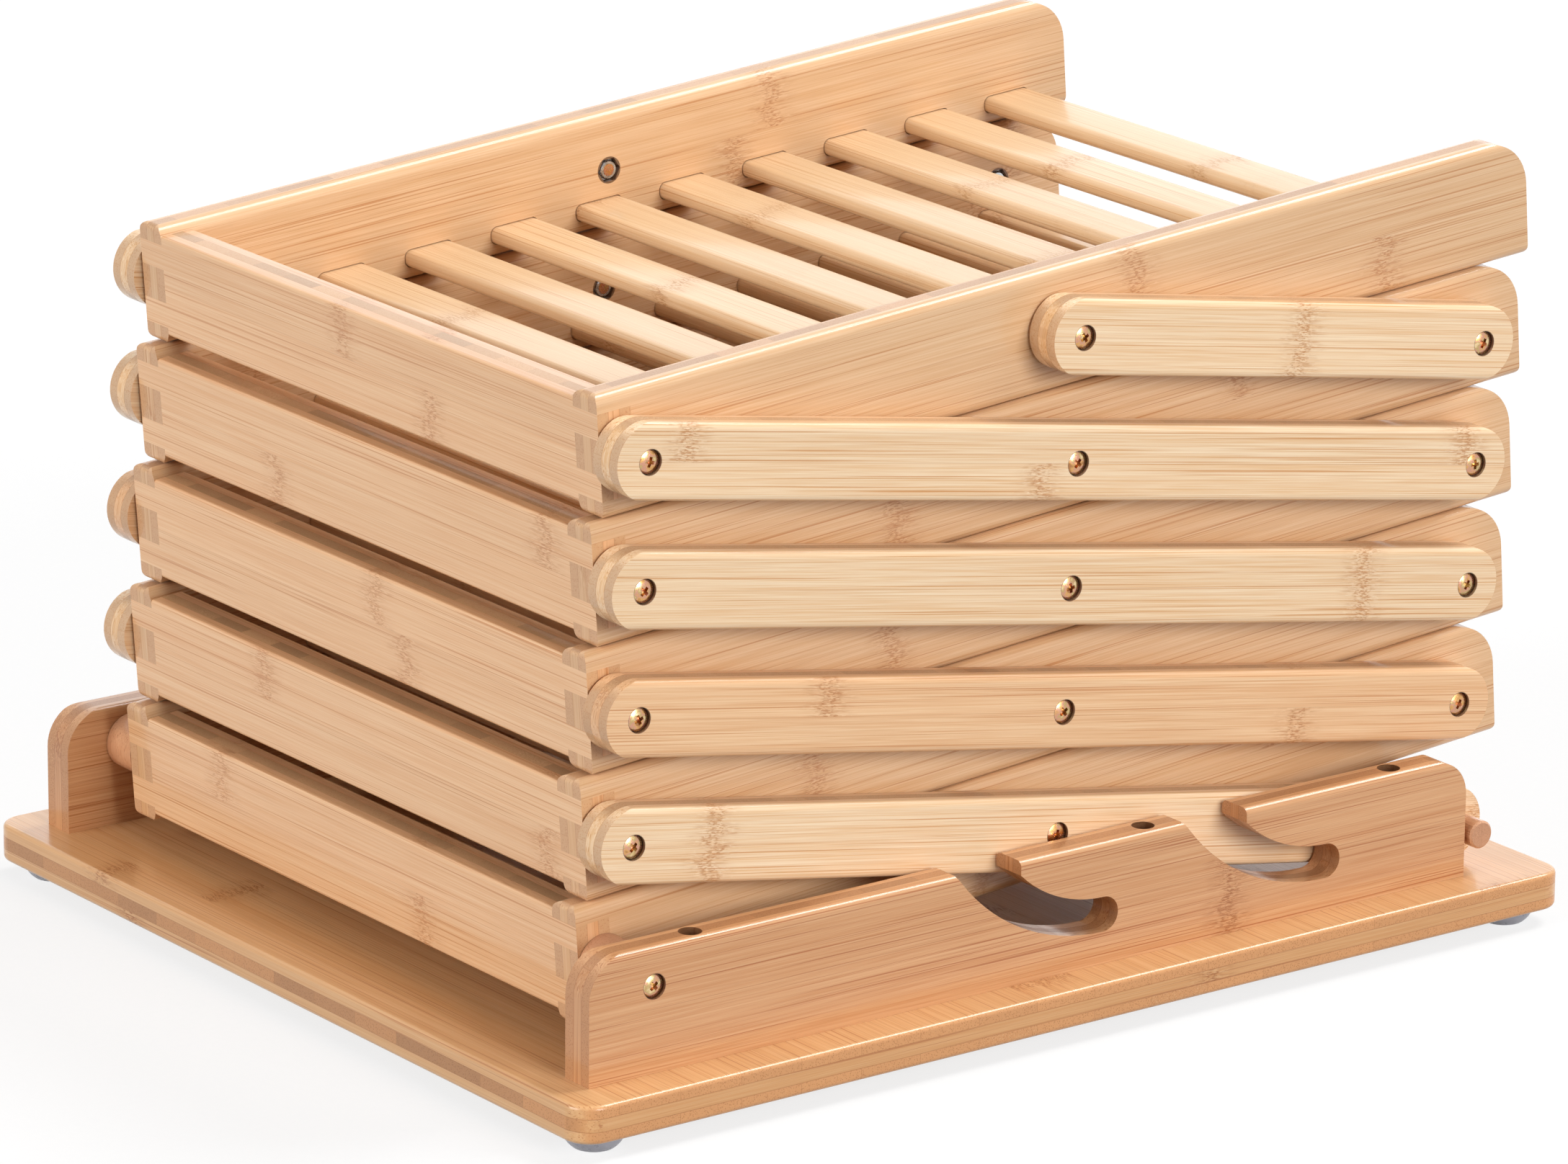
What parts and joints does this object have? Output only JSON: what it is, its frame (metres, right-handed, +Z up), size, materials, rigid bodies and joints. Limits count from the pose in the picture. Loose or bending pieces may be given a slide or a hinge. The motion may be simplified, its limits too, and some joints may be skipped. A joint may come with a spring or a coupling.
{
  "type": "folding brochure stand",
  "caption": "Folding brochure stand of slatted bamboo trays on a lazy-tongs linkage, folded flat on a notched base.",
  "frame": {"origin": "on the floor under the middle of the folded stand, half way between its front and rear extremes", "axes": "+Z up, -Y the front that brochures are taken from, +X to the right seen from the front"},
  "size_m": [0.324, 0.388, 0.2438],
  "materials": {
    "bamboo_base": "clear satin lacquer on laminated bamboo",
    "bamboo_board": "clear satin lacquer on laminated bamboo",
    "bamboo_slat": "clear satin lacquer on bamboo strip",
    "bamboo_dowel": "turned and lacquered bamboo",
    "yellow_zinc": "yellow passivated zinc plating",
    "plain_zinc": "bright zinc plating",
    "clear_bumper": "soft translucent moulding"
  },
  "bodies": {
    "base": {"base_board": "bamboo_base", "feet": "clear_bumper", "cheek_left": "bamboo_base", "cheek_right": "bamboo_base", "cheek_screws": "yellow_zinc"},
    "tray_1": {"tray_1_left_side": "bamboo_board", "tray_1_right_side": "bamboo_board", "tray_1_front": "bamboo_board", "tray_1_slats": "bamboo_slat", "tray_1_bolts": "yellow_zinc", "tray_1_nuts": "plain_zinc", "tray_1_washers": "plain_zinc", "front_pivot_screws": "yellow_zinc", "front_spacers": "bamboo_dowel"},
    "links_1": {"link_1_left": "bamboo_board", "link_1_right": "bamboo_board", "support_rod": "bamboo_dowel"},
    "tray_2": {"tray_2_left_side": "bamboo_board", "tray_2_right_side": "bamboo_board", "tray_2_front": "bamboo_board", "tray_2_slats": "bamboo_slat", "tray_2_bolts": "yellow_zinc", "tray_2_nuts": "plain_zinc", "tray_2_washers": "plain_zinc", "tray_2_front_screws": "yellow_zinc"},
    "links_2": {"link_2_left": "bamboo_board", "link_2_right": "bamboo_board"},
    "tray_3": {"tray_3_left_side": "bamboo_board", "tray_3_right_side": "bamboo_board", "tray_3_front": "bamboo_board", "tray_3_slats": "bamboo_slat", "tray_3_bolts": "yellow_zinc", "tray_3_nuts": "plain_zinc", "tray_3_washers": "plain_zinc", "tray_3_front_screws": "yellow_zinc"},
    "links_3": {"link_3_left": "bamboo_board", "link_3_right": "bamboo_board"},
    "tray_4": {"tray_4_left_side": "bamboo_board", "tray_4_right_side": "bamboo_board", "tray_4_front": "bamboo_board", "tray_4_slats": "bamboo_slat", "tray_4_bolts": "yellow_zinc", "tray_4_nuts": "plain_zinc", "tray_4_washers": "plain_zinc", "tray_4_front_screws": "yellow_zinc"},
    "links_4": {"link_4_left": "bamboo_board", "link_4_right": "bamboo_board"},
    "tray_5": {"tray_5_left_side": "bamboo_board", "tray_5_right_side": "bamboo_board", "tray_5_front": "bamboo_board", "tray_5_slats": "bamboo_slat", "tray_5_bolts": "yellow_zinc", "tray_5_nuts": "plain_zinc", "tray_5_washers": "plain_zinc", "tray_5_front_screws": "yellow_zinc"},
    "links_5": {"link_5_left": "bamboo_board", "link_5_right": "bamboo_board"}
  },
  "joints": [
    {"name": "unfold", "type": "hinge", "parent": "base", "child": "tray_1", "pos_m": [0, -0.15841, 0.0445], "axis": [1, 0, 0], "range_deg": [0, 50.3]},
    {"name": "links_1_turn", "type": "hinge", "parent": "tray_1", "child": "links_1", "pos_m": [0, 0.00112, 0.05677], "axis": [1, 0, 0], "range_deg": [-102.73, 0]},
    {"name": "tray_2_turn", "type": "hinge", "parent": "links_1", "child": "tray_2", "pos_m": [0, -0.15668, 0.08324], "axis": [1, 0, 0], "range_deg": [0, 102.73]},
    {"name": "links_2_turn", "type": "hinge", "parent": "tray_2", "child": "links_2", "pos_m": [0, 0.00285, 0.09552], "axis": [1, 0, 0], "range_deg": [-102.73, 0]},
    {"name": "tray_3_turn", "type": "hinge", "parent": "links_2", "child": "tray_3", "pos_m": [0, -0.15495, 0.12199], "axis": [1, 0, 0], "range_deg": [0, 102.73]},
    {"name": "links_3_turn", "type": "hinge", "parent": "tray_3", "child": "links_3", "pos_m": [0, 0.00458, 0.13427], "axis": [1, 0, 0], "range_deg": [-102.73, 0]},
    {"name": "tray_4_turn", "type": "hinge", "parent": "links_3", "child": "tray_4", "pos_m": [0, -0.15321, 0.16074], "axis": [1, 0, 0], "range_deg": [0, 102.73]},
    {"name": "links_4_turn", "type": "hinge", "parent": "tray_4", "child": "links_4", "pos_m": [0, 0.00632, 0.17301], "axis": [1, 0, 0], "range_deg": [-102.73, 0]},
    {"name": "tray_5_turn", "type": "hinge", "parent": "links_4", "child": "tray_5", "pos_m": [0, -0.15148, 0.19949], "axis": [1, 0, 0], "range_deg": [0, 102.73]},
    {"name": "links_5_turn", "type": "hinge", "parent": "tray_5", "child": "links_5", "pos_m": [0, 0.00805, 0.21176], "axis": [1, 0, 0], "range_deg": [-102.73, 0]}
  ],
  "couplings": [
    {"joint": "links_1_turn", "follows": "unfold", "ratio": -2.042},
    {"joint": "tray_2_turn", "follows": "unfold", "ratio": 2.042},
    {"joint": "links_2_turn", "follows": "unfold", "ratio": -2.042},
    {"joint": "tray_3_turn", "follows": "unfold", "ratio": 2.042},
    {"joint": "links_3_turn", "follows": "unfold", "ratio": -2.042},
    {"joint": "tray_4_turn", "follows": "unfold", "ratio": 2.042},
    {"joint": "links_4_turn", "follows": "unfold", "ratio": -2.042},
    {"joint": "tray_5_turn", "follows": "unfold", "ratio": 2.042},
    {"joint": "links_5_turn", "follows": "unfold", "ratio": -2.042}
  ]
}
